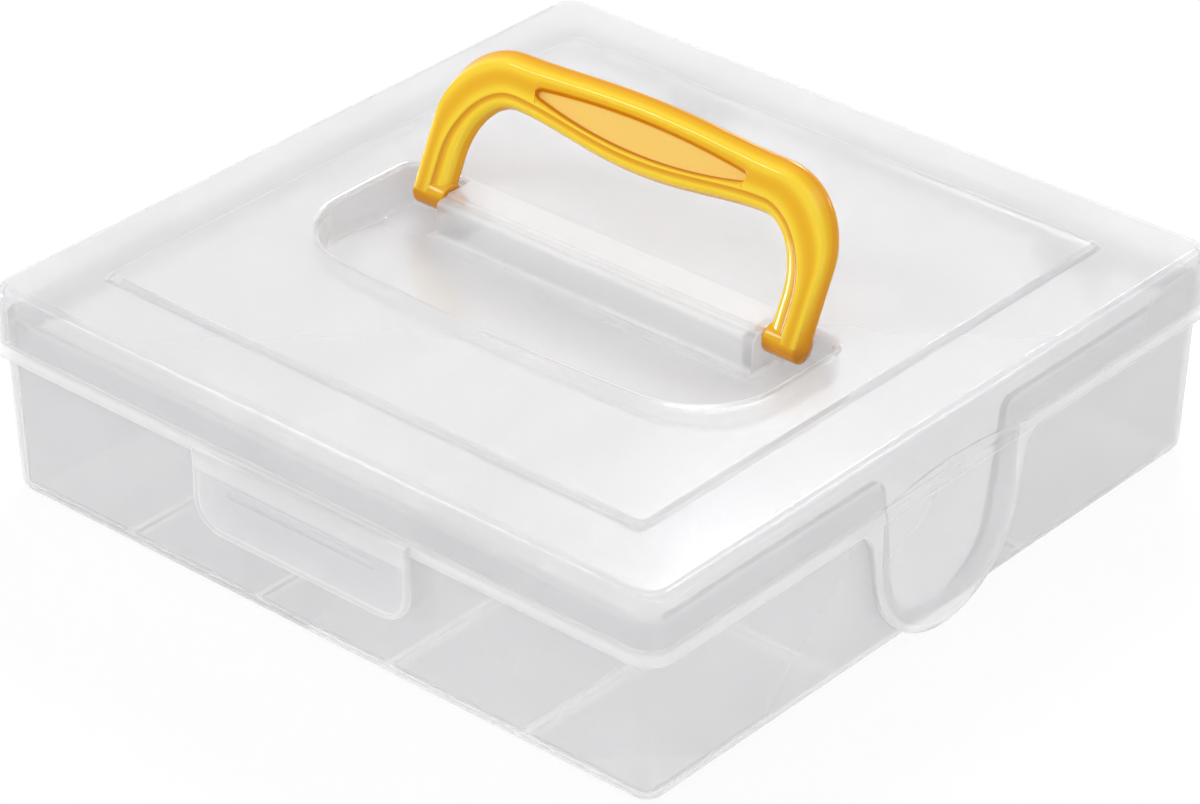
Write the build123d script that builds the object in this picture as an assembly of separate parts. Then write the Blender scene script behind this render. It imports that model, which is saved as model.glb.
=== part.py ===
from build123d import *
import math
import os

# Paper storage case: a square translucent tray, a hinged lid with a deep skirt, a front latch flap
# and a swing-up carrying handle that folds into a pocket in the lid.
# Millimetres. +Z is up, +X is to the right, and the latch side faces -Y.
# The origin is the centre of the flat base.

# The closed case: its plan over the lid's bottom lip, and its height to the lid's raised panel
case_width = 180.0
case_depth = 181.0
case_height = 50.7

# Tray
tray_wall = 1.5
tray_floor = 1.6
rim_below_top = 8.2
tray_inset_base = 3.2
tray_inset_shoulder = 2.1
tray_inset_rim = 2.4
tray_corner_base = 4.4
tray_corner_rim = 5.0
shoulder_above_lip = 0.7
base_fillet = 3.6
rim_round = 0.4
rib_height = 1.0
rib_width = 1.9
ribs_across = 4
ribs_along = 2

# Finger cut-out in the tray's right wall
cutout_radius = 16.4
cutout_centre_z = 20.6
cutout_rim_half = 19.6
cutout_corner = 3.0

# Lid
lid_wall = 1.2
lid_top = 1.5
skirt_drop = 17.0
lid_top_inset = 1.1
skirt_flare = 2.9
lid_corner_lip = 6.0
lid_corner_skirt = 5.7
lid_corner_top = 4.8
top_fillet = 2.4
lip_height = 3.0
lip_wall = 1.3
lip_lean = 0.1
lip_bevel = 0.6
lip_round = 0.5
panel_half_width = 72.8
panel_half_depth = 73.4
panel_rise = 1.5
panel_slope = 1.7
panel_corner = 1.2
panel_round = 0.4

# Tongue of the lid that closes the finger cut-out
tongue_wall = 1.2
tongue_gap = 0.6
tongue_radius = 23.2
tongue_bottom_z = 0.5
tongue_top_half = 25.6
tongue_shoulder = 6.0
tongue_arch_rise = 2.7
tongue_round = 0.4

# Handle pocket in the lid
pocket_half_width = 57.9
pocket_front = 37.4
pocket_bow = 520.0
pocket_back = 4.7
pocket_corner = 19.0
pocket_back_corner = 3.5
pocket_depth = 8.7
pocket_front_depth = 5.9
pocket_well_edge = 9.0
pocket_wall = 1.4
pocket_draft = 4.0
pocket_floor_round = 2.0
pocket_rim_round = 1.75

# Pivot beam of the lid, between the two legs of the handle
beam_half_length = 42.9
beam_edge = 1.2
beam_slope = 0.7
beam_shoulder_drop = 0.6
beam_front = 4.9
beam_round = 1.7
beam_crease = 0.3
beam_cove = 1.6
beam_end_round = 0.4
beam_end_wall = 3.6

# Handle, drawn in its own plane: across, and up from the bottom of its legs
handle_lean = 25.8
pivot_y = 0.4
pivot_below_top = 2.2
pivot_height = 2.8
leg_spacing = 95.8
leg_width = 9.4
handle_thickness = 6.6
handle_height = 38.5
shoulder_height = 37.2
outer_bend = 17.5
inner_bend = 10.0
inner_bend_height = 13.6
inner_peak = 25.3
grip_bottom = 22.5
edge_round = 3.0
lens_half_length = 28.3
lens_tip_height = 31.0
lens_top = 33.4
lens_bottom = 26.8
lens_depth = 0.8
boss_end_round = 0.5
stub_radius = 1.3
stub_length = 3.0
running_gap = 0.05
handle_fold = 115.0

# Front latch
latch_width = 58.0
latch_height = 16.35
latch_wall = 1.3
latch_corner = 7.5
latch_edge_round = 0.6
latch_gap = 0.15
latch_recess = 0.2
ledge_height = 2.4
ledge_proud = 1.1
ledge_round = 0.6
hook_width = 40.0
hook_height = 1.9
catch_width = 39.0
catch_height = 3.9
catch_drop = 0.6
hook_reach = 0.9
hook_bevel = 0.4
hook_drop = 0.6
snap_gap = 0.1

# Rear hinge
hinge_spacing = 104.0
hinge_width = 10.5
ear_thickness = 2.4
ear_gap = 0.35
pin_radius = 1.6
ear_radius = 2.7
clip_wall = 1.45
clip_mouth = 104.0
clip_chamfer = 1.2
clip_arm_drop = 0.8
hinge_back = 2.2
hinge_drop = 3.6

# How far a piece of a moulding is sunk into its neighbour, and how far a cut runs past a face
sunk = 0.5
past = 2.0
quarter_turn = 90

half_width = case_width / 2
half_depth = case_depth / 2
panel_z = case_height
lid_top_z = panel_z - panel_rise
lip_bottom_z = case_height - skirt_drop
lip_top_z = lip_bottom_z + lip_height
tray_rim_z = case_height - rim_below_top
shoulder_z = lip_bottom_z + shoulder_above_lip
skirt_lean = math.tan(math.radians(skirt_flare))
skirt_at_lip = lid_top_inset - skirt_lean * (lid_top_z - lip_top_z)
pivot_z = case_height - pivot_below_top
leg_inner = leg_spacing / 2 - leg_width / 2
leg_outer = leg_spacing / 2 + leg_width / 2
latch_outer = half_depth + ledge_proud - latch_recess
latch_inner = latch_outer - latch_wall
latch_top_z = lip_bottom_z - latch_gap
latch_bottom_z = latch_top_z - latch_height
hinge_y = half_depth + hinge_back
hinge_z = lip_bottom_z - hinge_drop


def plan(z, inset, radius):
    """A horizontal rounded rectangle, inset from the overall plan."""
    outline = RectangleRounded(case_width - 2 * inset, case_depth - 2 * inset, radius)
    return Pos(0, 0, z) * outline


def drafted(low, high):
    """A straight-sided block between two plans, each given as (z, inset, corner radius)."""
    return loft([plan(*low), plan(*high)], ruled=True)


def box_between(x0, x1, y0, y1, z0, z1):
    """A plain block between two corners."""
    block = Box(x1 - x0, y1 - y0, z1 - z0)
    return Pos((x0 + x1) / 2, (y0 + y1) / 2, (z0 + z1) / 2) * block


def rod(x0, x1, y, z, radius):
    """A round bar along X."""
    return Pos((x0 + x1) / 2, y, z) * Rot(0, 90, 0) * Cylinder(radius, abs(x1 - x0))


def prism_along_x(points, half_length):
    """A polygon given as (y, z) points, extruded both ways along X."""
    outline = Polyline(*[(0, y, z) for y, z in points], close=True)
    return extrude(make_face(outline), half_length, dir=(1, 0, 0), both=True)


def u_outline(radius, centre_z, top_half, top_z, ledge):
    """A face square to X: a round bottom and two legs that flare up to a level top strip.
    With a ledge, the legs run into the strip through hollow corners of that radius."""
    reach = math.hypot(top_half, top_z - centre_z)
    lean = math.atan2(top_z - centre_z, top_half) - math.acos(radius / reach)
    touch_y = radius * math.cos(lean)
    touch_z = centre_z + radius * math.sin(lean)
    edge = top_half + 2 * ledge + 1
    lines = [ThreePointArc((-touch_y, touch_z), (0, centre_z - radius), (touch_y, touch_z)),
             Line((touch_y, touch_z), (top_half, top_z)),
             Line((top_half, top_z), (edge, top_z)),
             Line((edge, top_z), (edge, top_z + 1)),
             Line((edge, top_z + 1), (-edge, top_z + 1)),
             Line((-edge, top_z + 1), (-edge, top_z)),
             Line((-edge, top_z), (-top_half, top_z)),
             Line((-top_half, top_z), (-touch_y, touch_z))]
    face = make_face(lines)
    if ledge > 0:
        level = [corner for corner in face.vertices() if abs(corner.Y - top_z) < 0.01]
        face = fillet([corner for corner in level if abs(corner.X) < edge - 0.01], ledge)
    return face


def plate_at(x_inner, thickness, face):
    """A plate square to X, from a face drawn in (y, z)."""
    return extrude(Plane.YZ.offset(x_inner) * face, thickness, dir=(1, 0, 0))


def tray_outside():
    """The tray's outer form: drafted walls, a small shoulder under the lid's lip, and the inset rim."""
    walls = drafted((0, tray_inset_base, tray_corner_base), (shoulder_z, tray_inset_shoulder, tray_corner_rim))
    walls = fillet(walls.faces().sort_by(Axis.Z)[0].edges(), base_fillet)
    rim = drafted((shoulder_z, tray_inset_rim, tray_corner_rim), (tray_rim_z, tray_inset_rim, tray_corner_rim))
    rim = fillet(rim.faces().sort_by(Axis.Z)[-1].edges(), rim_round)
    return walls + rim


def tray_inside():
    """The space that the paper lies in, with a rounded foot all round."""
    foot = (tray_floor, tray_inset_base + tray_wall, tray_corner_base - tray_wall)
    bend = (shoulder_z - tray_wall, tray_inset_rim + tray_wall, tray_corner_rim - tray_wall)
    mouth = (tray_rim_z + past, tray_inset_rim + tray_wall, tray_corner_rim - tray_wall)
    space = drafted(foot, bend)
    space = fillet(space.faces().sort_by(Axis.Z)[0].edges(), base_fillet - tray_wall)
    return space + drafted(bend, mouth)


def floor_ribs():
    """Low ribs that stiffen the floor: a grid of lines across and along the tray, from wall to wall."""
    inner_x = half_width - tray_inset_base - tray_wall
    inner_y = half_depth - tray_inset_base - tray_wall
    top = tray_floor + rib_height
    half = rib_width / 2
    ribs = []
    for number in range(ribs_across):
        x = case_width * ((number + 1) / (ribs_across + 1) - 0.5)
        ribs.append(box_between(x - half, x + half, -inner_y, inner_y, tray_floor - sunk, top))
    for number in range(ribs_along):
        y = case_depth * ((number + 1) / (ribs_along + 1) - 0.5)
        ribs.append(box_between(-inner_x, inner_x, y - half, y + half, tray_floor - sunk, top))
    return ribs


def finger_cutout():
    """The U-shaped opening in the right wall, open at the rim."""
    inside = half_width - tray_inset_base - tray_wall - base_fillet
    outline = u_outline(cutout_radius, cutout_centre_z, cutout_rim_half, tray_rim_z, cutout_corner)
    return plate_at(inside, half_width + past - inside, outline)


def latch_catch():
    """The block on the front wall that the latch's hook stands under, with a sloped top edge."""
    wall = -(half_depth - tray_inset_shoulder - tray_wall / 2)
    front = -(latch_inner - hook_reach - snap_gap)
    top = lip_bottom_z - catch_drop
    bottom = top - catch_height
    return prism_along_x([(wall, top), (front + hook_bevel, top), (front, top - hook_bevel), (front, bottom),
                          (wall, bottom)], catch_width / 2)


def hinge_centres():
    """The two hinges' places along the rear wall."""
    return (-hinge_spacing / 2, hinge_spacing / 2)


def hinge_ears(centre):
    """Two ears on the rear wall with the hinge pin moulded between them."""
    wall_y = half_depth - tray_inset_shoulder - tray_wall / 2
    inner = hinge_width / 2 + ear_gap
    ears = rod(centre - inner - sunk, centre + inner + sunk, hinge_y, hinge_z, pin_radius)
    for side in (-1, 1):
        near = centre + side * inner
        far = near + side * ear_thickness
        x0 = min(near, far)
        x1 = max(near, far)
        cheek = rod(x0, x1, hinge_y, hinge_z, ear_radius)
        neck = box_between(x0, x1, wall_y, hinge_y, hinge_z - ear_radius, hinge_z + ear_radius)
        gusset = prism_along_x([(wall_y, hinge_z), (hinge_y, hinge_z - ear_radius),
                                (wall_y, hinge_z - 3 * ear_radius)], ear_thickness / 2)
        ears = ears + cheek + neck + Pos((x0 + x1) / 2, 0, 0) * gusset
    return ears


def make_tray():
    """The tray: walls, floor ribs, finger cut-out, latch catch and hinge ears in one moulding."""
    tray = tray_outside() - tray_inside()
    for rib in floor_ribs():
        tray = tray + rib
    tray = tray - finger_cutout()
    tray = tray + latch_catch()
    for centre in hinge_centres():
        tray = tray + hinge_ears(centre)
    return tray


def raised_panel():
    """The lid's raised middle, with sloped sides and a softened edge."""
    foot = RectangleRounded(2 * panel_half_width, 2 * panel_half_depth, panel_corner)
    crown = RectangleRounded(2 * (panel_half_width - panel_slope), 2 * (panel_half_depth - panel_slope),
                             panel_corner)
    panel = loft([Pos(0, 0, lid_top_z - sunk) * foot, Pos(0, 0, panel_z) * crown], ruled=True)
    return fillet(panel.faces().sort_by(Axis.Z)[-1].edges(), panel_round)


def lid_outside():
    """The lid's outer form: rounded lip, flared skirt, rounded top edge and raised panel."""
    brow = (lip_top_z - lip_bevel, lip_lean, lid_corner_lip)
    waist = (lip_top_z, skirt_at_lip, lid_corner_skirt)
    lip = drafted((lip_bottom_z, 0, lid_corner_lip), brow)
    lip = fillet(lip.faces().sort_by(Axis.Z)[0].edges(), lip_round)
    skirt = drafted(waist, (lid_top_z, lid_top_inset, lid_corner_top))
    skirt = fillet(skirt.faces().sort_by(Axis.Z)[-1].edges(), top_fillet)
    return lip + drafted(brow, waist) + skirt + raised_panel()


def lid_inside():
    """The hollow under the lid, following its top, skirt and lip."""
    ceiling = lid_top_z - lid_top
    ceiling_inset = skirt_at_lip + lid_wall + skirt_lean * (ceiling - lip_top_z)
    mouth = (lip_bottom_z - past, lip_wall, lid_corner_lip - lip_wall)
    brow = (lip_top_z - lip_bevel, lip_wall, lid_corner_lip - lip_wall)
    waist = (lip_top_z, skirt_at_lip + lid_wall, lid_corner_skirt - lid_wall)
    hollow = drafted(waist, (ceiling, ceiling_inset, lid_corner_top - lid_wall))
    hollow = fillet(hollow.faces().sort_by(Axis.Z)[-1].edges(), top_fillet - lid_wall)
    under_x = panel_half_width - panel_slope
    under_y = panel_half_depth - panel_slope
    under = box_between(-under_x, under_x, -under_y, under_y, ceiling - sunk, panel_z - lid_top)
    return hollow + drafted(mouth, brow) + drafted(brow, waist) + under


def pocket_outline(grow, z):
    """The pocket's outline seen from above: straight back and ends, round front corners that run
    smoothly into a slightly bowed front."""
    side = pocket_half_width + grow
    back = pocket_back + grow
    corner = pocket_corner + grow
    back_corner = pocket_back_corner + grow
    bow_centre = pocket_bow - pocket_front
    bend_x = pocket_half_width - pocket_corner
    bend_y = bow_centre - math.sqrt((pocket_bow - pocket_corner) ** 2 - bend_x ** 2)
    lean = math.atan2(bend_x, bow_centre - bend_y)
    turn = math.pi / 4 - lean / 2
    touch_x = bend_x + corner * math.sin(lean)
    touch_y = bend_y - corner * math.cos(lean)
    middle_x = bend_x + corner * math.cos(turn)
    middle_y = bend_y - corner * math.sin(turn)
    right_back = RadiusArc((side - back_corner, back, z), (side, back - back_corner, z), back_corner)
    right_side = Line((side, back - back_corner, z), (side, bend_y, z))
    right_bend = ThreePointArc((side, bend_y, z), (middle_x, middle_y, z), (touch_x, touch_y, z))
    bow = ThreePointArc((touch_x, touch_y, z), (0, -pocket_front - grow, z), (-touch_x, touch_y, z))
    left_bend = ThreePointArc((-touch_x, touch_y, z), (-middle_x, middle_y, z), (-side, bend_y, z))
    left_side = Line((-side, bend_y, z), (-side, back - back_corner, z))
    left_back = RadiusArc((-side, back - back_corner, z), (-side + back_corner, back, z), back_corner)
    rear = Line((-side + back_corner, back, z), (side - back_corner, back, z))
    return make_face([right_back, right_side, right_bend, bow, left_bend, left_side, left_back, rear])


def pocket_block(grow, drop):
    """The pocket as a solid: drafted sides down to a floor that is deep at the pivot and rises forwards,
    with a rounded foot all round."""
    deep = panel_z - pocket_depth - drop
    rise = (pocket_depth - pocket_front_depth) / (pocket_front - pocket_well_edge)
    far = pocket_front + grow + past
    shrink = math.tan(math.radians(pocket_draft)) * (panel_z - deep + past)
    sides = loft([pocket_outline(grow - shrink, deep - past), pocket_outline(grow, panel_z)], ruled=True)
    above = prism_along_x([(far, deep), (-pocket_well_edge, deep), (-far, deep + rise * (far - pocket_well_edge)),
                           (-far, panel_z + past), (far, panel_z + past)], pocket_half_width + grow + past)
    block = sides & above
    foot_edges = [edge for edge in block.edges() if edge.center().Z < panel_z - pocket_front_depth - drop]
    foot_edges = [edge for edge in foot_edges if abs(edge.center().Y + pocket_well_edge) > 0.01]
    return fillet(foot_edges, pocket_floor_round + grow)


def beam_face():
    """The bar's outline, drawn in (y, z): the panel's level, a small step down to a round shoulder,
    a steep front and a hollow foot on the pocket's floor."""
    foot = panel_z - pocket_depth
    base = foot - pocket_wall
    shoulder = panel_z - beam_shoulder_drop
    slope_y = -beam_edge - beam_slope
    back = pocket_back + pocket_rim_round + sunk
    diagonal = beam_cove * math.sqrt(0.5)
    cove_y = -beam_front - beam_cove
    lines = [Line((back, panel_z), (-beam_edge, panel_z)),
             Line((-beam_edge, panel_z), (slope_y, shoulder)),
             Line((slope_y, shoulder), (-beam_front, shoulder)),
             Line((-beam_front, shoulder), (-beam_front, foot + beam_cove)),
             ThreePointArc((-beam_front, foot + beam_cove), (cove_y + diagonal, foot + beam_cove - diagonal),
                           (cove_y, foot)),
             Line((cove_y, foot), (cove_y, base)),
             Line((cove_y, base), (back, base)),
             Line((back, base), (back, panel_z))]
    face = make_face(lines)
    face = fillet(face.vertices().sort_by_distance((-beam_front, shoulder))[0], beam_round)
    face = fillet(face.vertices().sort_by_distance((slope_y, shoulder))[0], beam_crease)
    return fillet(face.vertices().sort_by_distance((-beam_edge, panel_z))[0], beam_crease)


def pivot_beam():
    """The bar between the legs, running down through the pocket's floor."""
    bar = plate_at(-beam_half_length, 2 * beam_half_length, beam_face())
    ends = bar.faces().sort_by(Axis.X)
    edges = ends[0].edges() + ends[-1].edges()
    soft = [edge for edge in edges if edge.center().Z > panel_z - pocket_depth + beam_cove]
    return fillet([edge for edge in soft if edge.center().Y < pocket_back], beam_end_round)


def beam_hollow():
    """The space inside the bar, open below, which leaves a thick wall at each end for the handle's stubs."""
    top = panel_z - lid_top
    front = -beam_front + pocket_wall
    back = pocket_back + pocket_rim_round + sunk
    base = panel_z - pocket_depth - pocket_wall - past
    return prism_along_x([(back, top), (-beam_edge, top), (front, top - beam_shoulder_drop), (front, base),
                          (back, base)], beam_half_length - beam_end_wall)


def tongue():
    """The U-shaped tongue that hangs from the lip and closes the finger cut-out, with a low arch above it."""
    inner = half_width - tray_inset_shoulder + tongue_gap
    root = lip_bottom_z + lip_round
    outline = u_outline(tongue_radius, tongue_bottom_z + tongue_radius, tongue_top_half, root, tongue_shoulder)
    plate = plate_at(inner, tongue_wall, outline)
    outer_edges = plate.faces().sort_by(Axis.X)[-1].edges()
    plate = fillet([edge for edge in outer_edges if edge.center().Z < root + 0.01], tongue_round)
    span = tongue_top_half
    brow = lip_top_z - lip_bevel
    arch = make_face([ThreePointArc((-span, brow), (0, lip_top_z + tongue_arch_rise), (span, brow)),
                      Line((span, brow), (span, root)),
                      Line((span, root), (-span, root)),
                      Line((-span, root), (-span, brow))])
    return plate + plate_at(inner, tongue_wall, arch)


def hinge_clip(centre):
    """The lid's half of a hinge: a C-shaped clip on the pin, with an arm up to the lip."""
    x0 = centre - hinge_width / 2
    x1 = centre + hinge_width / 2
    bore = pin_radius + running_gap
    outer = bore + clip_wall
    ring = rod(x0, x1, hinge_y, hinge_z, outer)
    arm = box_between(x0, x1, half_depth - sunk, hinge_y + sunk, hinge_z + 1, lip_top_z - clip_arm_drop)
    arm = chamfer(arm.edges().filter_by(Axis.X).sort_by(Axis.Z)[-1], clip_chamfer)
    spread = 2 * outer * math.tan(math.radians(clip_mouth / 2))
    mouth = prism_along_x([(hinge_y, hinge_z), (hinge_y - spread, hinge_z - 2 * outer),
                           (hinge_y + spread, hinge_z - 2 * outer)], hinge_width)
    return ring + arm - rod(x0 - past, x1 + past, hinge_y, hinge_z, bore) - Pos(centre, 0, 0) * mouth


def latch_ledge():
    """The proud strip on the front lip that the latch flap hangs below."""
    ledge = box_between(-latch_width / 2, latch_width / 2, -half_depth - ledge_proud, -half_depth + 2 * sunk,
                        lip_bottom_z, lip_bottom_z + ledge_height)
    rim = [edge for edge in ledge.faces().sort_by(Axis.Y)[0].edges() if edge.center().Z > lip_bottom_z + 0.1]
    return fillet(rim, ledge_round)


def make_lid():
    """The lid: skirted shell, handle pocket, pivot beam, tongue, latch ledge and hinge clips."""
    lid = lid_outside() - lid_inside()
    lid = lid + (pocket_block(pocket_wall, pocket_wall) & box_between(
        -half_width, half_width, -half_depth, half_depth, 0, panel_z - sunk))
    lid = lid - pocket_block(0, 0)
    level = [edge for edge in lid.edges() if abs(edge.center().Z - panel_z) < 0.01]
    mouth = [edge for edge in level if abs(edge.center().Y) < panel_half_depth / 2 + 1]
    mouth = [edge for edge in mouth if abs(edge.center().X) < pocket_half_width + 1]
    lid = fillet(mouth, pocket_rim_round)
    lid = lid + pivot_beam() - beam_hollow()
    for side in (-1, 1):
        inner = side * (beam_half_length - beam_end_wall - 1)
        outer = side * (beam_half_length + 1)
        lid = lid - rod(inner, outer, pivot_y, pivot_z, stub_radius + running_gap)
    lid = lid + latch_ledge() + tongue()
    for centre in hinge_centres():
        lid = lid + hinge_clip(centre)
    return lid


def handle_face():
    """The handle's outline in its own plane: a U with a bowed, deeper grip, its legs drawn too long."""
    bend = shoulder_height - outer_bend
    sweep = outer_bend * math.sqrt(0.5)
    across = leg_outer - outer_bend
    centre = leg_inner - inner_bend
    rise = inner_peak - inner_bend_height
    low = -handle_thickness
    lines = [Line((-leg_outer, low), (-leg_outer, bend)),
             ThreePointArc((-leg_outer, bend), (-across - sweep, bend + sweep), (-across, shoulder_height)),
             Spline((-across, shoulder_height), (0, handle_height), (across, shoulder_height),
                    tangents=((1, 0), (1, 0))),
             ThreePointArc((across, shoulder_height), (across + sweep, bend + sweep), (leg_outer, bend)),
             Line((leg_outer, bend), (leg_outer, low)),
             Line((leg_outer, low), (leg_inner, low)),
             Line((leg_inner, low), (leg_inner, rise)),
             EllipticalCenterArc((centre, rise), inner_bend, inner_bend_height, start_angle=0,
                                 arc_size=quarter_turn),
             Spline((centre, inner_peak), (0, grip_bottom), (-centre, inner_peak), tangents=((-1, 0), (-1, 0))),
             EllipticalCenterArc((-centre, rise), inner_bend, inner_bend_height, start_angle=quarter_turn,
                                 arc_size=quarter_turn),
             Line((-leg_inner, rise), (-leg_inner, low)),
             Line((-leg_inner, low), (-leg_outer, low))]
    return make_face(lines)


def lens_face():
    """The lens-shaped inset in the front of the grip."""
    top = ThreePointArc((-lens_half_length, lens_tip_height), (0, lens_top), (lens_half_length, lens_tip_height))
    bottom = ThreePointArc((lens_half_length, lens_tip_height), (0, lens_bottom),
                           (-lens_half_length, lens_tip_height))
    return make_face([top, bottom])


def leg_end(side):
    """The round end of a leg about its pivot, square on the inside, with the stub that turns in the beam."""
    inner = side * leg_inner
    outer = side * leg_outer
    boss = rod(inner, outer, pivot_height, 0, handle_thickness / 2)
    ends = boss.faces().filter_by(Axis.X).sort_by(lambda face: abs(face.center().X))
    boss = fillet(ends[0].edges(), boss_end_round)
    outer_end = boss.faces().filter_by(Axis.X).sort_by(lambda face: abs(face.center().X))[-1]
    boss = fillet(outer_end.edges(), edge_round)
    tip = side * (beam_half_length - stub_length)
    return boss + rod(tip, inner + side * sunk, pivot_height, 0, stub_radius)


def make_handle():
    """The handle, moulded flat and then stood up on its pivots, leaning back on the pocket's rear edge."""
    bar = extrude(handle_face(), handle_thickness / 2, both=True)
    rounded = bar.faces().sort_by(Axis.Z)[0].edges() + bar.faces().sort_by(Axis.Z)[-1].edges()
    bar = fillet(rounded, edge_round)
    bar = bar - box_between(-half_width, half_width, -half_depth, pivot_height, -half_depth, half_depth)
    bar = bar - Pos(0, 0, handle_thickness / 2 - lens_depth) * extrude(lens_face(), past)
    for side in (-1, 1):
        bar = bar + leg_end(side)
    upright = Pos(0, -pivot_height, 0)
    stand = Pos(0, pivot_y, pivot_z) * Rot(quarter_turn - handle_lean, 0, 0)
    return stand * upright * bar


def make_latch():
    """The latch flap: a plate with round lower corners, a softened edge and a hook bar inside."""
    half = latch_width / 2
    low = latch_bottom_z
    turn = latch_corner * (1 - math.sqrt(0.5))
    y = -latch_inner
    lines = [Line((-half, y, latch_top_z), (half, y, latch_top_z)),
             Line((half, y, latch_top_z), (half, y, low + latch_corner)),
             ThreePointArc((half, y, low + latch_corner), (half - turn, y, low + turn), (half - latch_corner, y, low)),
             Line((half - latch_corner, y, low), (-half + latch_corner, y, low)),
             ThreePointArc((-half + latch_corner, y, low), (-half + turn, y, low + turn),
                           (-half, y, low + latch_corner)),
             Line((-half, y, low + latch_corner), (-half, y, latch_top_z))]
    outline = make_face(lines)
    flap = extrude(outline, latch_wall, dir=(0, -1, 0))
    rim = [edge for edge in flap.faces().sort_by(Axis.Y)[0].edges() if edge.center().Z < latch_top_z - 0.1]
    flap = fillet(rim, latch_edge_round)
    root = -latch_inner - sunk
    tip = -(latch_inner - hook_reach)
    hook_top = lip_bottom_z - catch_drop - catch_height - hook_drop
    hook_foot = hook_top - hook_height
    hook = prism_along_x([(root, hook_top), (tip, hook_top), (tip, hook_foot + hook_bevel),
                          (tip - hook_bevel, hook_foot), (root, hook_foot)], hook_width / 2)
    return flap + hook


def write(node, shape):
    """Save one piece as its own file, with its name."""
    piece = Compound(children=list(shape.solids())) if len(shape.solids()) > 1 else shape.solids()[0]
    piece.label = node
    export_step(piece, os.path.join("parts", node + ".step"))
    print(node, "solids", len(shape.solids()), "volume", round(shape.volume), "valid", shape.is_valid)


def main():
    os.makedirs("parts", exist_ok=True)
    write("storage_tray", make_tray())
    write("lid", make_lid())
    write("carry_handle", make_handle())
    write("front_latch", make_latch())
    print("handle folds", handle_fold, "degrees about", (0, pivot_y, pivot_z))
    print("lid turns about", (0, hinge_y, round(hinge_z, 2)))
    print("latch turns about", (0, round(-latch_outer, 2), round(latch_top_z, 2)))


main()
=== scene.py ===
# %% [markdown]
# # A see-through case for craft paper, with a yellow carrying handle
#
# The real thing is four mouldings: a tray, a lid with a deep skirt, a latch flap and a handle. Three of them are
# milky polypropylene, so the picture lives from what the light does inside thin walls, and the fourth is a solid
# glossy yellow. This lesson loads the measured model, sets the camera where the photographer stood, makes the
# finishes, and shapes the handle again as one smooth surface, because its soft ridges carry all the highlights.

# %% Load the measured model
import math

import bpy
import numpy as np
from mathutils import Matrix, Vector


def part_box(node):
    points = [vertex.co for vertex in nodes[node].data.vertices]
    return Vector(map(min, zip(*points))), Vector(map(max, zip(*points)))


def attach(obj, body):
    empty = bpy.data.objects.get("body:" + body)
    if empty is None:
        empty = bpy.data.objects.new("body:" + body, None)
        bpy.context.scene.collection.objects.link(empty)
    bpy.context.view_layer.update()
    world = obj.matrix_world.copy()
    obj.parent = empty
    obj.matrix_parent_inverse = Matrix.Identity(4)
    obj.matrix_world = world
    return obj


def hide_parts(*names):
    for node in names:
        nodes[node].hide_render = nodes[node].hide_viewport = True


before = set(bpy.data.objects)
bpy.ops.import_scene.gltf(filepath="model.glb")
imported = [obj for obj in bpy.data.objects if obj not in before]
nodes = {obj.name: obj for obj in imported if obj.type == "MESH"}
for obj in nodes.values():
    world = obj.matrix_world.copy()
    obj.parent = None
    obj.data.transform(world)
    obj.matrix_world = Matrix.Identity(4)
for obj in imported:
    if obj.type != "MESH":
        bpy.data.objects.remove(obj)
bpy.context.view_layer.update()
mm = 0.001
print("pieces:", sorted(nodes))

# %% [markdown]
# ## The camera
#
# The photograph is a product shot from above and to the right, with a long lens: parallel edges of the case stay
# nearly parallel. The angles, the distance and the lens were worked out from the case's own corners, so that the
# model falls on the picture. A camera in Blender looks along its own -Z, so its axes are built as three unit
# vectors: to the right, up, and back towards the camera.

# %% The photographer's place
azimuth = math.radians(40.90)
elevation = math.radians(30.96)
roll = math.radians(0.28)
distance = 989.2 * mm
pan = (-1.07 * mm, 13.82 * mm)
focal_pixels = 4713.9
image_width = 1200

back = Vector((math.sin(azimuth) * math.cos(elevation), -math.cos(azimuth) * math.cos(elevation),
               math.sin(elevation)))
level = Vector((math.cos(azimuth), math.sin(azimuth), 0))
upright = back.cross(level)
right = math.cos(roll) * level + math.sin(roll) * upright
up = -math.sin(roll) * level + math.cos(roll) * upright
place = distance * back + pan[0] * right + pan[1] * up

camera_data = bpy.data.cameras.new("photographer")
camera_data.sensor_width = 36
camera_data.lens = focal_pixels / image_width * camera_data.sensor_width
camera_data.clip_start = 0.05
camera_data.clip_end = 20
camera = bpy.data.objects.new("photographer", camera_data)
bpy.context.scene.collection.objects.link(camera)
camera.matrix_world = Matrix((right, up, back)).transposed().to_4x4()
camera.location = place
bpy.context.scene.camera = camera
print("lens", round(camera_data.lens, 1), "mm, camera at", [round(c, 3) for c in place])

# %% [markdown]
# ## The handle as one smooth surface
#
# The carrying handle is a thick U of yellow plastic. Seen from the front it has two soft ridges that run up one
# leg, round the bends and along the grip, with a flat face between them and a slope from each ridge to the side.
# A rounded bevel on a solid doesn't give such ridges, so the surface is worked out here: the outline of the U is
# a pair of curves, each edge of the section is a curve that follows one of them, and a ring of rounded corners
# is drawn at every station. The handle is drawn flat, as it is moulded, with x across, h up from the bottom of
# the legs and d forwards, and stood up on its pivots at the end. All these measures are in millimetres.

# %% The two outlines
leg_inner = 43.2
leg_outer = 52.6
pivot_height = 2.8
half_thickness = 3.3
outer_bend = {"centre": (35.1, 19.7), "radii": (17.5, 17.5), "middle": 38.5, "fall": -1.3}
inner_bend = {"centre": (33.2, 11.7), "radii": (10.0, 13.6), "middle": 22.5, "fall": 2.8}
leg_stations = 12
bend_stations = 36
bow_stations = (8, 26, 44)
lens_end_share = (0.86, 0.76)


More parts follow.
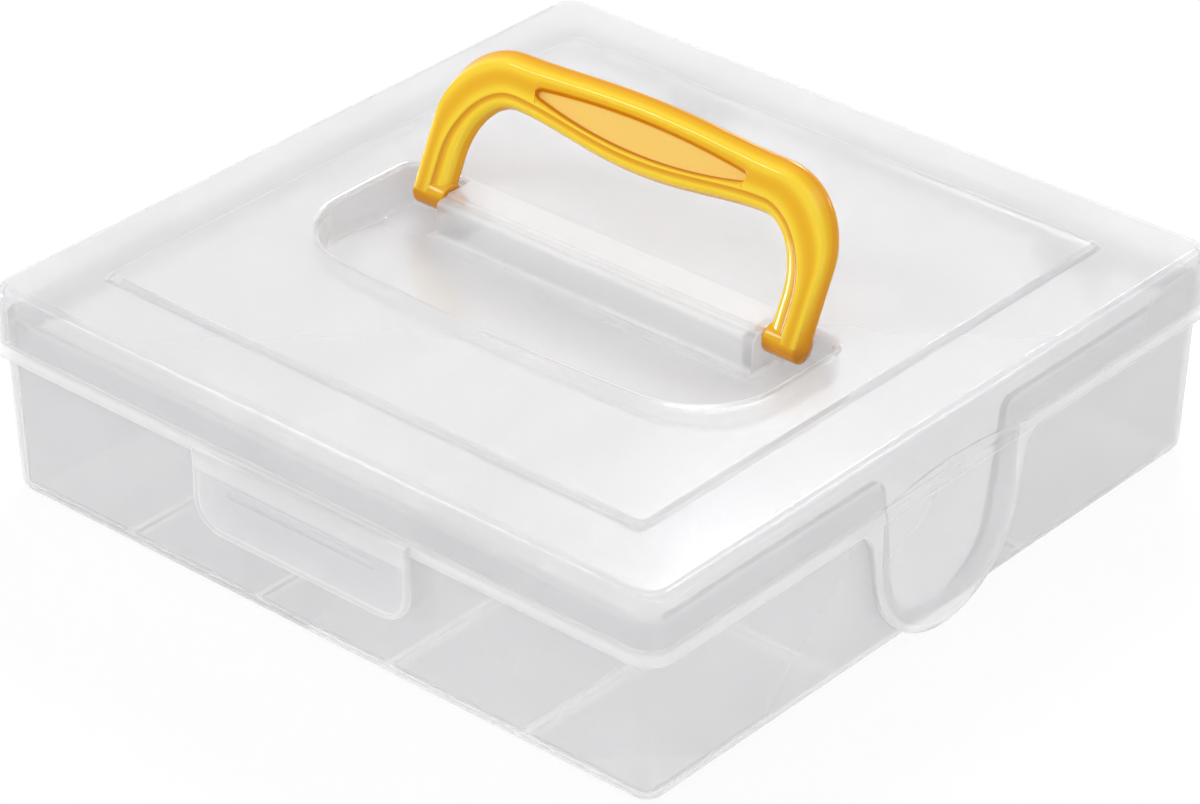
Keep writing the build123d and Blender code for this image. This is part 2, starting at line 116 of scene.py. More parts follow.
def bow_shares():
    """Places along the bow, from 1 at the bend to 0 in the middle, close together where the inset ends."""
    near, far = lens_end_share
    before, across, inside = bow_stations
    return np.concatenate([np.linspace(1, near, before, endpoint=False),
                           np.linspace(near, far, across, endpoint=False), np.linspace(far, 0, inside)])


def half_outline(side_x, low, centre, radii, middle, fall):
    """Half of an outline, from the foot of the right leg to the middle of the grip, as arrays of x and h.

    A straight leg at side_x, then a quarter of an ellipse about centre, then a bow whose height is
    middle + fall * q^2 (2 - q^2), where q runs from 1 at the bend to 0 in the middle, so it starts level.
    """
    up = np.linspace(low, centre[1], leg_stations, endpoint=False)
    turn = np.linspace(0, np.pi / 2, bend_stations, endpoint=False)
    q = bow_shares()
    x = np.concatenate([np.full(leg_stations, side_x), centre[0] + radii[0] * np.cos(turn), centre[0] * q])
    h = np.concatenate([up, centre[1] + radii[1] * np.sin(turn), middle + fall * q ** 2 * (2 - q ** 2)])
    return x, h


def both_halves(x, h):
    """The whole outline from the right foot to the left foot, as an array of (x, h) rows."""
    right_side = np.column_stack([x, h])
    left_side = right_side[-2::-1] * np.array([-1, 1])
    return np.concatenate([right_side, left_side])


def inward(outline, towards):
    """Unit normals of an outline: its direction turned a quarter to the left, times towards."""
    direction = np.gradient(outline, axis=0)
    direction /= np.linalg.norm(direction, axis=1, keepdims=True)
    return towards * np.column_stack([-direction[:, 1], direction[:, 0]])


foot_overlap = 0.3
foot = pivot_height - foot_overlap
outer_line = both_halves(*half_outline(leg_outer, foot, **outer_bend))
inner_line = both_halves(*half_outline(leg_inner, foot, **inner_bend))
outer_normal = inward(outer_line, 1)
inner_normal = inward(inner_line, -1)
print("stations along the handle:", len(outer_line))

# %% [markdown]
# ## The ring of corners
#
# The section has a narrow flat on each side and a flat front. The outer ridge stands near the outer side on the
# legs and moves in along the grip. On the inner side a small step leads down from the front to a fat round roll,
# which carries the brightest highlight. The grip has a lens-shaped inset, whose four corners meet in one line
# where there is no inset, so every ring has the same corners and the rings join into one skin.

# %% Measures of the section
side_flat = 0.6
leg_outer_inset, grip_outer_inset = 1.1, 2.7
leg_inner_inset, grip_inner_inset = 4.5, 3.4
step_width, step_depth = 0.4, 0.5
roll_inset, roll_drop = 0.9, 0.3
inner_flat_drop = 0.3
back_inset = 2.5

# The ridges move in between two heights. The grip, a little thinner, begins between two places across, high up
inset_changes = (18, 36)
grip_begins = (-36, -24)
grip_above = 30
grip_front_drop, grip_rear_drop = 0.45, 0.3

lens_half = 28.3
lens_middle = 31.0
lens_tip_half = 1.2
lens_top = 34.1
lens_bottom = 26.4
lens_end_round = 1.4
lens_depth = 1.2
lens_slope_top = 1.25
lens_slope_bottom = 0.55
lens_room = 1.3
print("inset", 2 * lens_half, "mm long and", round(lens_top - lens_bottom, 1), "mm high, cut", lens_depth, "mm deep")


# %% Lines along the handle
def smooth_step(value, low_end, high_end):
    """0 below low_end, 1 above high_end, and t^2 (3 - 2 t) between them."""
    t = np.clip((value - low_end) / (high_end - low_end), 0, 1)
    return t * t * (3 - 2 * t)


def arc_height(x, tip, middle):
    """Height of a circular arc from (-lens_half, tip) over (0, middle) to (lens_half, tip)."""
    sag = middle - tip
    radius = (lens_half ** 2 + sag ** 2) / (2 * sag)
    return middle - radius + np.sign(radius) * np.sqrt(radius ** 2 - np.minimum(np.abs(x), lens_half) ** 2)


def corner_line(outline, normal, inset, depth):
    """A line along the handle: the outline moved in by inset along its normals, at that depth."""
    inset = np.broadcast_to(inset, len(outline))[:, None]
    return np.column_stack([outline + inset * normal, np.broadcast_to(depth, len(outline))])


along_grip = outer_line[:, 1] > grip_above
on_top = smooth_step(outer_line[:, 1], *inset_changes)
on_grip = smooth_step(-np.abs(outer_line[:, 0]), *grip_begins) * along_grip
front = half_thickness - grip_front_drop * on_grip
rear = -half_thickness + grip_rear_drop * on_grip
outer_inset = leg_outer_inset + (grip_outer_inset - leg_outer_inset) * on_top
inner_inset = leg_inner_inset + (grip_inner_inset - leg_inner_inset) * on_top
step = step_depth * (1 - on_grip)

outer_ridge = corner_line(outer_line, outer_normal, outer_inset, front)
inner_ridge = corner_line(inner_line, inner_normal, inner_inset, front)
step_foot = corner_line(inner_line, inner_normal, inner_inset - step_width, front - step)
roll = corner_line(inner_line, inner_normal, roll_inset, front - step - roll_drop)
print("front of the handle", round(front.min(), 2), "to", round(front.max(), 2), "mm before its middle")

# %% [markdown]
# ## The inset, and the table of corners
#
# The inset's two edges are arcs that meet in rounded tips, and its floor sinks in as far as there is room for its
# slopes. Then all the corners of the section are written in one table, in order round the ring, each with how far its
# rounding reaches and how much painted light its yellow gets: 1, a painted highlight, on a ridge, and less, down to
# painted shade, on the flanks.

# %% The lens-shaped inset
between = (outer_ridge + inner_ridge) / 2
lens_x = between[:, 0]
past_round = np.clip((np.abs(lens_x) - lens_half + lens_end_round) / lens_end_round, 0, 1)
end_share = np.sqrt(1 - past_round ** 2) * along_grip
high = lens_middle + (arc_height(lens_x, lens_middle + lens_tip_half, lens_top) - lens_middle) * end_share
low = lens_middle + (arc_height(lens_x, lens_middle - lens_tip_half, lens_bottom) - lens_middle) * end_share
merged = (end_share == 0)
high = np.where(merged, between[:, 1], high)
low = np.where(merged, between[:, 1], low)
share = np.clip((high - low) / (lens_room * (lens_slope_top + lens_slope_bottom)), 0, 1)
floor_depth = front - lens_depth * share
print("stations with an inset:", int((share > 0).sum()), "of", len(share))

# %% The table of corners
# Columns: name, line of the corner, reach of its rounding, and its painted light: 1 paints a highlight on a ridge,
# lower numbers paint shade on the flanks
section = [
    ("outer side, front", corner_line(outer_line, outer_normal, 0, side_flat), 0.55, 0.15),
    ("outer ridge", outer_ridge, 0.5, 1),
    ("inset, upper edge", np.column_stack([lens_x, high, front]), 0.14, 0.35),
    ("inset, floor above", np.column_stack([lens_x, high - lens_slope_top * share, floor_depth]), 0.2, 0.35),
    ("inset, floor below", np.column_stack([lens_x, low + lens_slope_bottom * share, floor_depth]), 0.2, 0.35),
    ("inset, lower edge", np.column_stack([lens_x, low, front]), 0.14, 0.35),
    ("inner ridge", inner_ridge, 0.3, 1),
    ("foot of the step", step_foot, 0.35, 0.15),
    ("roll", roll, 1.7, 0.95),
    ("inner side, front", corner_line(inner_line, inner_normal, 0, side_flat - inner_flat_drop), 0.9, 0.4),
    ("inner side, rear", corner_line(inner_line, inner_normal, 0, -side_flat), 0.55, 0.25),
    ("back, inner", corner_line(inner_line, inner_normal, back_inset, rear), 1.5, 0.6),
    ("back, outer", corner_line(outer_line, outer_normal, back_inset, rear), 1.5, 0.6),
    ("outer side, rear", corner_line(outer_line, outer_normal, 0, -side_flat), 0.55, 0.2)]
# lights: the painted-light number of each corner, painted highlight on ridges and painted shade on flanks
corner_names, corner_lines, reaches, lights = zip(*section)
corners = np.stack(corner_lines, axis=1)
corner_reach = np.array(reaches)
corner_painted_light = np.array(lights)
print("corners of the section:", len(corner_names))

# %% [markdown]
# ## Rounding every corner
#
# A corner of a moulding is never sharp. Each corner of a ring becomes a short quadratic curve that starts and ends on
# its two edges, which is cheap to work out for all rings at once, and which shades as a soft highlight. Two numbers
# are kept for each point, for the finish later: how deep it lies in the inset's floor, and how much painted highlight
# or painted shade its yellow gets.

# %% Rounded rings
# Two roundings on one edge stay apart, and a corner that lies on its neighbour doesn't divide by zero
mid_edge = 0.48
tiny = 1e-9


def softened(before, corner, after, reach, steps):
    """A quadratic curve at a corner, from reach before it to reach after it, but never past mid-edge.

    The curve is (1-t)^2 A + 2 t (1-t) C + t^2 B, with C the corner and A and B on its two edges.
    """
    def towards(other):
        edge = other - corner
        length = np.linalg.norm(edge, axis=-1, keepdims=True)
        return corner + edge * np.minimum(reach / np.maximum(length, tiny), mid_edge)
    t = np.linspace(0, 1, steps)[:, None]
    start = towards(before)[..., None, :]
    end = towards(after)[..., None, :]
    return (1 - t) ** 2 * start + 2 * t * (1 - t) * corner[..., None, :] + t ** 2 * end


corner_steps = 7
floor_points = slice(corner_names.index("inset, floor above") * corner_steps,
                     corner_names.index("inset, lower edge") * corner_steps)
grip_rings = softened(np.roll(corners, 1, axis=1), corners, np.roll(corners, -1, axis=1),
                      corner_reach[:, None], corner_steps)
grip_rings = grip_rings.reshape(len(corners), -1, 3)
inset_mark = np.zeros(grip_rings.shape[:2])
inset_mark[:, floor_points] = share[:, None]
painted_light_mark = np.tile(np.repeat(corner_painted_light, corner_steps), (len(corners), 1))
print("points round each ring:", grip_rings.shape[1])

# %% [markdown]
# ## The ends of the legs
#
# Below the rings each leg ends in a round boss about the pivot. It is a turned shape: a profile of (x, radius)
# swept round the pivot's axis. Its outer half has the same corners as the leg's section, so the leg runs smoothly
# into it, and its inner half is square, which shows as a small step on the inside of the leg. The thin stub that
# turns in the lid's beam is the first stretch of the same profile.

# %% Turned shapes
turn_steps = 64


def turned(profile):
    """Rings of a shape turned about the pivot's axis, from rows of (x, radius)."""
    angle = np.linspace(0, 2 * np.pi, turn_steps, endpoint=False)
    x = np.repeat(profile[:, :1], turn_steps, axis=1)
    h = pivot_height + profile[:, 1:] * np.cos(angle)
    d = profile[:, 1:] * np.sin(angle)
    return np.stack([x, h, d], axis=-1)


def rounded_profile(points, reaches):
    """An open profile with its inner points softened and its two ends kept."""
    points = np.array(points, dtype=float)
    arcs = [softened(points[i - 1], points[i], points[i + 1], reaches[i - 1], corner_steps)
            for i in range(1, len(points) - 1)]
    return np.concatenate([points[:1], *arcs, points[-1:]])


stub_radius = 1.3
stub_tip = 39.9
stub_dimple = 0.7
axis_hole = 0.02
end_reach = [0.3, 0.05, 0.5, 0.5, 0.55]
end_profile = rounded_profile(
    [(stub_tip, stub_dimple), (stub_tip, stub_radius), (leg_inner, stub_radius), (leg_inner, half_thickness),
     (leg_outer - leg_outer_inset, half_thickness), (leg_outer, side_flat), (leg_outer, axis_hole)], end_reach)
right_end = turned(end_profile)
left_end = right_end * np.array([-1, 1, 1])
print("rings of a leg's end:", len(end_profile))

# %% [markdown]
# ## Stand it up and make it a mesh
#
# In the picture the handle leans back from its pivots. The rings become quads from one ring to the next, and the first
# and last ring are closed with a face each. The bow and the two round ends are three closed skins in one mesh. The
# sign of a skin's volume says whether its faces point outwards, and one that comes out negative is turned round.

# %% Stand the handle up
handle_lean = math.radians(25.8)
pivot_y, pivot_z = 0.4, 48.5
sharp_from = math.radians(38)
# The round ends get one painted-light number all over, about that of the front face, so almost no painted highlight or
# shade
boss_painted_light = 0.48


def stood_up(points):
    """From (x, h, d) in millimetres to the frame in metres: turned back by the lean about the pivot."""
    x, h, d = points[..., 0], points[..., 1] - pivot_height, points[..., 2]
    y = pivot_y + h * math.sin(handle_lean) - d * math.cos(handle_lean)
    z = pivot_z + h * math.cos(handle_lean) + d * math.sin(handle_lean)
    return np.stack([x, y, z], axis=-1) * mm


def skin(rings, flip):
    """Quads between closed rings of points, with the first and last ring filled in, as (points, faces)."""
    count, around = rings.shape[:2]
    number = np.arange(count * around).reshape(count, around)
    nxt = np.roll(number, -1, axis=1)
    quads = np.stack([number[:-1], number[1:], nxt[1:], nxt[:-1]], axis=-1).reshape(-1, 4)
    faces = quads.tolist() + [number[0].tolist(), number[-1][::-1].tolist()]
    if flip:
        faces = [face[::-1] for face in faces]
    return rings.reshape(-1, 3), faces


def volume_of(points, faces):
    """Signed volume of a closed skin: a sixth of the sum of corner dot (next cross after next), by fans."""
    triangles = np.array([(face[0], face[i], face[i + 1]) for face in faces for i in range(1, len(face) - 1)])
    a, b, c = (points[triangles[:, k]] for k in range(3))
    return np.einsum("ij,ij->i", a, np.cross(b, c)).sum() / 6


def joined(parts):
    """Several skins in one list of points and faces, each turned so that its faces point outwards."""
    points, faces = [], []
    for rings in parts:
        own_points, own_faces = skin(stood_up(rings), False)
        if volume_of(own_points, own_faces) < 0:
            own_points, own_faces = skin(stood_up(rings), True)
        shift = sum(len(group) for group in points)
        points.append(own_points)
        faces += [[index + shift for index in face] for face in own_faces]
    return np.concatenate(points), faces


print("the handle leans back by", round(math.degrees(handle_lean), 1), "degrees")

# %% The handle's mesh
handle_points, handle_faces = joined([grip_rings, right_end, left_end])
handle_mesh = bpy.data.meshes.new("carrying_handle")
handle_mesh.from_pydata(handle_points.tolist(), [], handle_faces)
handle_mesh.shade_smooth()
handle_mesh.set_sharp_from_angle(angle=sharp_from)
# The "ridge" attribute carries the painted-light number: painted highlight on the ridges, painted shade on the flanks
for title, ring_marks, elsewhere in (("inset", inset_mark, 0.0), ("ridge", painted_light_mark, boss_painted_light)):
    marks = np.full(len(handle_points), elsewhere)
    marks[:ring_marks.size] = ring_marks.ravel()
    handle_mesh.attributes.new(title, "FLOAT", "POINT").data.foreach_set("value", marks)
handle = bpy.data.objects.new("carrying_handle", handle_mesh)
bpy.context.scene.collection.objects.link(handle)
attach(handle, "handle_body")
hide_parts("carry_handle")
print("handle:", len(handle_points), "points,", len(handle_faces), "faces,",
      round(volume_of(handle_points, handle_faces) / mm ** 3), "cubic mm")

# %% [markdown]
# ## A shader in one call
#
# Every finish here is a Principled shader with some of its sockets set, so one small helper makes the material and
# sets the sockets by name. Textures are then linked to it where a finish needs them. The other helpers add a node,
# link two sockets, and put arithmetic, a soft step, a mix of colours or the fine grain of a moulding in one line.


# %% Materials, nodes and links
def finish_named(name, **sockets):
    """Make a material whose Principled shader has the given sockets, with _ for a space in a socket's name."""
    material = bpy.data.materials.new(name)
    material.use_nodes = True
    shader = material.node_tree.nodes["Principled BSDF"]
    for socket, value in sockets.items():
        shader.inputs[socket.replace("_", " ")].default_value = value
    return material, shader


def add_node(material, kind, **settings):
    """Add a shader node of that kind and set its sockets by name."""
    node = material.node_tree.nodes.new(kind)
    for socket, value in settings.items():
        node.inputs[socket.replace("_", " ")].default_value = value
    return node


def link(material, output, target):
    """Lead one socket into another."""
    material.node_tree.links.new(output, target)


print("helpers for materials, nodes and links")


# %% Arithmetic, soft steps, mixes and grain
def maths(material, operation, first, second):
    """A Math node on two sockets or numbers, as its output socket."""
    node = add_node(material, "ShaderNodeMath")
    node.operation = operation
    for slot, value in enumerate((first, second)):
        if isinstance(value, (int, float)):
            node.inputs[slot].default_value = value
        else:
            link(material, value, node.inputs[slot])
    return node.outputs[0]


def ramp(material, value, start, end, low, high):
    """Carry a value from the range start..end to the range low..high, smoothly and without going past."""
    node = add_node(material, "ShaderNodeMapRange")
    node.interpolation_type = "SMOOTHSTEP"
    for socket, number in (("From Min", start), ("From Max", end), ("To Min", low), ("To Max", high)):
        node.inputs[socket].default_value = number
    link(material, value, node.inputs["Value"])
    return node.outputs["Result"]


def mixed(material, factor, first, second):
    """A mix of two colours, each a socket or a fixed colour, from the first at 0 to the second at 1."""
    node = add_node(material, "ShaderNodeMix")
    node.data_type = "RGBA"
    for slot, colour in (("A", first), ("B", second)):
        if isinstance(colour, tuple):
            node.inputs[slot].default_value = colour
        else:
            link(material, colour, node.inputs[slot])
    link(material, factor, node.inputs["Factor"])
    return node.outputs["Result"]


grain_height = 0.05 * mm
noise_middle = (0.35, 0.65)


def grain(material, shader, scale, strength, roughness):
    """The skin of a moulding: a fine noise that lifts the surface a little and varies its roughness."""
    coordinates = add_node(material, "ShaderNodeTexCoord")
    noise = add_node(material, "ShaderNodeTexNoise", Scale=scale, Detail=3.0)
    link(material, coordinates.outputs["Object"], noise.inputs["Vector"])
    bump = add_node(material, "ShaderNodeBump", Strength=strength, Distance=grain_height)
    link(material, noise.outputs["Fac"], bump.inputs["Height"])
    link(material, bump.outputs["Normal"], shader.inputs["Normal"])
    link(material, ramp(material, noise.outputs["Fac"], *noise_middle, *roughness), shader.inputs["Roughness"])


print("helpers for numbers, colours and grain")

# %% [markdown]
# ## Milky polypropylene
#
# The tray, the lid and the latch are unpigmented polypropylene. It lets most light through, but it is a little
# cloudy: where a wall is seen edge on, or is thick, more light is scattered on the way and the plastic looks
# whiter. So the share of light that passes straight on is high where the wall faces the eye and falls off
# towards grazing angles, which Layer Weight gives, and it changes again where the moulding is thick, which a mask
# tells. The refraction is weaker than in solid plastic, because thin walls hardly bend what is behind them. A rough
# surface blurs it, the lid's more than the tray's, and a clear coat gives the gloss.

# %% The milky plastic
clear_share = 0.79
grazing_share = 0.30
facing_full = 0.35
cloud_scale = 28.0
skin_scale = 700.0
skin_strength = 0.03
thick_white = (0.975, 0.970, 0.966, 1)


def milky_plastic(name, thick_share, thick_mask, roughness, tints):
    """Cloudy see-through plastic. Where thick_mask is 1 it is whiter, and its clearness is times thick_share."""
    material, shader = finish_named(name, IOR=1.14, Coat_Weight=0.4, Coat_Roughness=0.09, Coat_IOR=1.45)
    coordinates = add_node(material, "ShaderNodeTexCoord")
    place = add_node(material, "ShaderNodeSeparateXYZ")
    link(material, coordinates.outputs["Object"], place.inputs[0])
    slant = add_node(material, "ShaderNodeLayerWeight", Blend=0.5)
    clear = ramp(material, slant.outputs["Facing"], facing_full, 1.0, clear_share, grazing_share)
    mask = thick_mask(material, place)
    kept = maths(material, "SUBTRACT", 1.0, maths(material, "MULTIPLY", mask, 1 - thick_share))
    link(material, maths(material, "MULTIPLY", clear, kept), shader.inputs["Transmission Weight"])
    clouds = add_node(material, "ShaderNodeTexNoise", Scale=cloud_scale, Detail=2.0)
    link(material, coordinates.outputs["Object"], clouds.inputs["Vector"])
    tint = mixed(material, ramp(material, clouds.outputs["Fac"], *noise_middle, 0.0, 1.0), *tints)
    link(material, mixed(material, mask, tint, thick_white), shader.inputs["Base Color"])
    grain(material, shader, skin_scale, skin_strength, roughness)
    return material


print("milky plastic lets", clear_share, "of the light straight through where it faces the eye")

# %% [markdown]
# ## Where the mouldings are thick
#
# The ribs on the tray's floor, the lip round the foot of the lid, the rims of the tongue and the latch, and the beam
# that holds the handle are thicker than the walls. Each is found by its measures: a repeating line by a ping-pong of
# the coordinate, a level edge by its height, and a round-ended edge by the distance from the line where it bends.
# Each pair of measures below says where a mask begins to change and where it has changed, since the plastic shows no
# hard line there.

# %% Ribs and rim of the tray
tray_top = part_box("storage_tray")[1][2]
rib_pitches = (36 * mm, 181 / 3 * mm)
rib_side = (0.95 * mm, 1.45 * mm)
rib_top = (2.6 * mm, 2.9 * mm)
tray_rim = (tray_top - 1.6 * mm, tray_top - 0.6 * mm)


def size_of(material, value):
    """The value without its sign."""
    return maths(material, "ABSOLUTE", value, 0.0)


def floor_ribs(material, place):
    """1 in the ribs of the tray's floor and in its rim: near a rib line and below the ribs' top, or at the top."""
    lines = []
    for axis, pitch in enumerate(rib_pitches):
        shifted = maths(material, "ADD", place.outputs[axis], pitch / 2)
        lines.append(maths(material, "PINGPONG", shifted, pitch / 2))
    nearest = maths(material, "MINIMUM", lines[0], lines[1])
    on_line = ramp(material, nearest, *rib_side, 1.0, 0.0)
    low_down = ramp(material, place.outputs["Z"], *rib_top, 1.0, 0.0)
    rim = ramp(material, place.outputs["Z"], *tray_rim, 0.0, 1.0)
    return maths(material, "MAXIMUM", maths(material, "MULTIPLY", on_line, low_down), rim)


def rounded_distance(material, across, up, half, low, corner):
    """Distance from the line along which a U-shaped outline bends: sqrt(qx^2 + qz^2).

    qx is how far across lies past half - corner, and qz how far up lies under low + corner. On the outline itself
    the distance equals corner.
    """
    aside = maths(material, "SUBTRACT", size_of(material, across), half - corner)
    under = maths(material, "SUBTRACT", low + corner, up)
    squares = [maths(material, "POWER", maths(material, "MAXIMUM", value, 0.0), 2.0) for value in (aside, under)]
    return maths(material, "SQRT", maths(material, "ADD", *squares), 0.0)


print("ribs every", [round(pitch / mm, 1) for pitch in rib_pitches], "mm, rim at", round(tray_top / mm, 1), "mm")

# %% Lip, tongue and beam of the lid
lip_foot = (32.8 * mm, 33.8 * mm)
lip_head = (36.0 * mm, 37.8 * mm)
tongue_half = 23.2 * mm
tongue_low = 0.5 * mm
tongue_rim = (20.8 * mm, 21.8 * mm)
inside_case = (70 * mm, 80 * mm)
beam_end = (44 * mm, 45 * mm)
beam_side = (6 * mm, 7 * mm)
beam_share = 0.5


def lip_tongue_and_beam(material, place):
    """1 in the lip round the foot of the lid's skirt and in the tongue's rim, and beam_share in the beam."""
    above = ramp(material, place.outputs["Z"], *lip_foot, 0.0, 1.0)
    below = ramp(material, place.outputs["Z"], *lip_head, 1.0, 0.0)
    left_of_tongue = ramp(material, place.outputs["X"], *inside_case, 1.0, 0.0)
    reach = rounded_distance(material, place.outputs["Y"], place.outputs["Z"], tongue_half, tongue_low, tongue_half)
    past_tongue = ramp(material, reach, *tongue_rim, 0.0, 1.0)
    off_tongue = maths(material, "MAXIMUM", past_tongue, left_of_tongue)
    lip = maths(material, "MULTIPLY", maths(material, "MAXIMUM", above, past_tongue), below)
    lip = maths(material, "MULTIPLY", lip, off_tongue)
    along = ramp(material, size_of(material, place.outputs["X"]), *beam_end, beam_share, 0.0)
    across = ramp(material, size_of(material, place.outputs["Y"]), *beam_side, 1.0, 0.0)
    return maths(material, "MAXIMUM", lip, maths(material, "MULTIPLY", along, across))


print("lid's lip from", round(lip_foot[0] / mm, 1), "to", round(lip_head[1] / mm, 1), "mm")

# %% Rim and top of the latch
latch_low, latch_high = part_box("front_latch")
flap_corner = 7.5 * mm
flap_rim = (5.8 * mm, 6.6 * mm)
flap_top = (latch_high[2] - 3.8 * mm, latch_high[2] - 2.0 * mm)
flap_rim_share, flap_top_share = 0.7, 0.8


def flap_rim_and_top(material, place):
    """A high share along the edge of the latch flap, and along its top, where the web and the hook thicken it."""
    top = ramp(material, place.outputs["Z"], *flap_top, 0.0, flap_top_share)
    reach = rounded_distance(material, place.outputs["X"], place.outputs["Z"], latch_high[0], latch_low[2], flap_corner)
    rim = ramp(material, reach, *flap_rim, 0.0, flap_rim_share)
    return maths(material, "MAXIMUM", top, rim)


print("latch flap", round((latch_high[0] - latch_low[0]) / mm, 1), "mm wide")

# %% [markdown]
# ## The three milky mouldings
#
# One recipe serves all three, with its own numbers for each. The tray's walls are glossier and let more be seen, the
# lid's are rougher and whiter, and the tray's ribs are the one thick place that comes out clearer than the rest,
# because in the picture they are light lines on the grey of the floor.

# %% Milky finishes on the pieces
tray_tints = (0.832, 0.831, 0.840, 1), (0.854, 0.852, 0.860, 1)
lid_tints = (0.892, 0.892, 0.900, 1), (0.914, 0.913, 0.920, 1)
flap_tints = (0.920, 0.920, 0.932, 1), (0.942, 0.941, 0.950, 1)

# Piece: its clearness where it is thick, the mask of those places, its least and greatest roughness, and its tints
milky_pieces = {"storage_tray": (1.16, floor_ribs, (0.14, 0.20), tray_tints),
                "lid": (0.86, lip_tongue_and_beam, (0.17, 0.24), lid_tints),
                "front_latch": (0.82, flap_rim_and_top, (0.14, 0.20), flap_tints)}
for name, (share_left, mask, roughness, tints) in milky_pieces.items():
    nodes[name].data.materials.clear()
    nodes[name].data.materials.append(milky_plastic("milky_" + name, share_left, mask, roughness, tints))
    print("milky plastic on", name)

# %% [markdown]
# ## Glossy yellow
#
# The handle is the same plastic with a strong yellow pigment. It is glossy all over. Light gets some way into it, so
# the ridges, which are lit from two sides, look lighter, and the flanks and hollows look deeper and more orange; here
# that light and shade is painted into the colour. The mesh's own attributes say where the ridges and the pale inset of
# the grip are, a colour ramp turns the ridge number into three yellows, a painted highlight on the ridges and painted
# shade on the flanks, and Ambient Occlusion finds the hollows, which get an orange painted shade. Between the pale
# floor of the inset and its edge the inset number passes through its middle values, and there the walls get a deep
# orange painted shade.

# %% The yellow plastic, with painted highlight and painted shade
flank_painted_shade_yellow = (0.70, 0.300, 0.001, 1)
face_yellow = (0.78, 0.415, 0.001, 1)
ridge_painted_highlight_yellow = (0.88, 0.610, 0.024, 1)
hollow_painted_shade_orange = (0.72, 0.27, 0.001, 1)
inset_pale = (0.87, 0.56, 0.12, 1)
inset_wall_painted_shade = (0.60, 0.15, 0.001, 1)
yellow_places = (0.1, 0.45, 1.0)


def mesh_number(material, title):
    """A number that the mesh carries at its points, as an output socket."""
    node = add_node(material, "ShaderNodeAttribute")
    node.attribute_name = title
    return node.outputs["Fac"]


yellow, yellow_shader = finish_named("glossy_yellow", IOR=1.5, Specular_IOR_Level=0.34)
# This ramp paints light into the yellow: painted shade on the flanks, painted highlight on the ridges
yellows = add_node(yellow, "ShaderNodeValToRGB")
yellows.color_ramp.interpolation = "EASE"
stops = yellows.color_ramp.elements
stops[0].position, stops[0].color = yellow_places[0], flank_painted_shade_yellow
stops[1].position, stops[1].color = yellow_places[2], ridge_painted_highlight_yellow
stops.new(yellow_places[1]).color = face_yellow
link(yellow, mesh_number(yellow, "ridge"), yellows.inputs["Fac"])
print("three yellows from flank to ridge, at", yellow_places)

# %% Painted shade in the hollows and the inset's walls, pale inset and grain of the handle
hollow_reach = 30 * mm
hollow_ends = (0.45, 0.85)
floor_begins = (0.8, 1.0)
wall_begins = (0.05, 0.35)
wall_ends = (0.75, 0.98)
wall_share = 0.85
yellow_grain_scale, yellow_grain_strength = 420.0, 0.10
yellow_roughness = (0.09, 0.14)

# Ambient Occlusion turns the colour orange where the handle is hemmed in: painted shade in the hollows
open_sky = add_node(yellow, "ShaderNodeAmbientOcclusion", Distance=hollow_reach).outputs["AO"]
tone = mixed(yellow, ramp(yellow, open_sky, *hollow_ends, 0.0, 1.0), hollow_painted_shade_orange, yellows.outputs["Color"])
inset = mesh_number(yellow, "inset")
tone = mixed(yellow, ramp(yellow, inset, *floor_begins, 0.0, 1.0), tone, inset_pale)
# The inset's walls, between its pale floor and its edge, get a deep orange painted shade
wall_foot = ramp(yellow, inset, *wall_begins, 0.0, wall_share)
wall_head = ramp(yellow, inset, *wall_ends, 1.0, 0.0)
tone = mixed(yellow, maths(yellow, "MULTIPLY", wall_foot, wall_head), tone, inset_wall_painted_shade)
link(yellow, tone, yellow_shader.inputs["Base Color"])
grain(yellow, yellow_shader, yellow_grain_scale, yellow_grain_strength, yellow_roughness)
handle_mesh.materials.append(yellow)
print("yellow on the handle")

# %% [markdown]
# ## White paper under the case
#
# The case stood on white paper that came out pure white in the picture. The floor is one large flat sheet. Seen by
# the camera, in a reflection or through the plastic, most of what it shows is plain white of strength 1, so the
# background is white without more light on the case. The rest is lit paper, which keeps the soft shadow.

# %% The floor
floor_half = 3.0
white_share = 0.92
paper_white = (0.9, 0.9, 0.9, 1)
floor_mesh = bpy.data.meshes.new("studio_floor")
floor_mesh.from_pydata([(-floor_half, -floor_half, 0), (floor_half, -floor_half, 0), (floor_half, floor_half, 0),
                        (-floor_half, floor_half, 0)], [], [(0, 1, 2, 3)])
floor = bpy.data.objects.new("studio_floor", floor_mesh)
bpy.context.scene.collection.objects.link(floor)


def seen_plainly(material):
    """1 for a ray from the camera, from a reflection or out of the plastic, and 0 for soft light on its way."""
    rays = add_node(material, "ShaderNodeLightPath")
    straight = maths(material, "MAXIMUM", rays.outputs["Is Camera Ray"], rays.outputs["Is Glossy Ray"])
    return maths(material, "MAXIMUM", straight, rays.outputs["Is Transmission Ray"])


def show_blend(material, share, lit, plain, ending):
    """Lead the lit shader to the ending node, with the plain one over it by that share."""
    blend = add_node(material, "ShaderNodeMixShader")
    link(material, share, blend.inputs["Fac"])
    link(material, lit.outputs[0], blend.inputs[1])
    link(material, plain.outputs[0], blend.inputs[2])
    link(material, blend.outputs[0], material.node_tree.nodes[ending].inputs["Surface"])


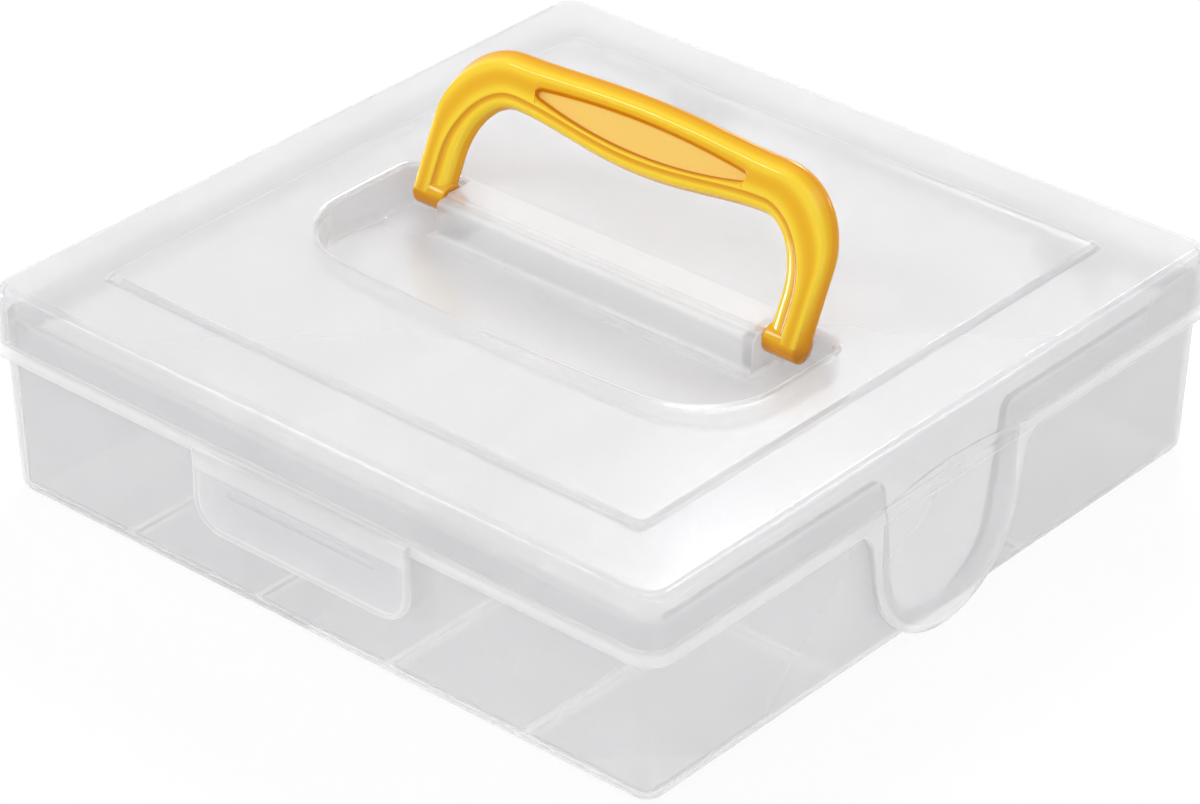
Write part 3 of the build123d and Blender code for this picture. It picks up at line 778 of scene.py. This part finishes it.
paper, paper_shader = finish_named("white_paper", Base_Color=paper_white, Roughness=0.8)
glow = add_node(paper, "ShaderNodeEmission", Strength=1.0)
show_blend(paper, maths(paper, "MULTIPLY", seen_plainly(paper), white_share), paper_shader, glow, "Material Output")
floor_mesh.materials.append(paper)
print("floor of white paper,", 2 * floor_half, "m wide")

# %% [markdown]
# ## Light like that of a tent
#
# See-through plastic shows its surroundings, so these matter more than any one lamp. The world is white wherever it
# is seen, reflected or looked at through a wall, but lights the case only softly. Large soft lamps round the case
# then give each side its own grey: the key stands behind and to the left, as the shine on the lid's near corner
# says, and small lamps low on the left draw the highlights along the handle's ridges.

# %% The world
sky_strength = 0.55
plain_white = (1, 1, 1, 1)
world = bpy.data.worlds.new("studio")
bpy.context.scene.world = world
world.use_nodes = True
sky = world.node_tree.nodes["Background"]
sky.inputs["Color"].default_value = plain_white
sky.inputs["Strength"].default_value = sky_strength
white = add_node(world, "ShaderNodeBackground", Color=plain_white, Strength=1.0)
show_blend(world, seen_plainly(world), sky, white, "World Output")
print("world lights the case at", sky_strength)


# %% The lamps
def soft_box(name, direction, reach, size, power):
    """An area lamp: reach metres from the case along direction, turned to face it, size metres square."""
    lamp = bpy.data.lights.new(name, "AREA")
    lamp.size = size
    lamp.energy = power
    thing = bpy.data.objects.new(name, lamp)
    bpy.context.scene.collection.objects.link(thing)
    towards = Vector(direction).normalized()
    thing.location = towards * reach
    thing.rotation_mode = "QUATERNION"
    thing.rotation_quaternion = towards.to_track_quat("Z", "Y")


# Name, direction from the case, metres away, metres square, watts
lamps = [
    ("key", (-12, 21, 24), 1.4, 0.35, 9),
    ("overhead", (0.2, -0.3, 1), 1.6, 1.2, 4),
    ("low left", (-0.80, -0.59, 0.11), 1.2, 0.20, 3.6),
    ("front left", (-0.56, -0.5, 0.66), 1.3, 0.3, 2.6),
    ("back right", (0.41, 0.65, 0.64), 1.5, 0.3, 2),
    ("low front", (0.3, -1.0, 0.2), 1.6, 0.5, 1.4),
    ("low right", (1.0, -0.3, 0.25), 1.6, 0.5, 3.6)]
for lamp_row in lamps:
    soft_box(*lamp_row)
bpy.context.scene.view_settings.view_transform = "Standard"
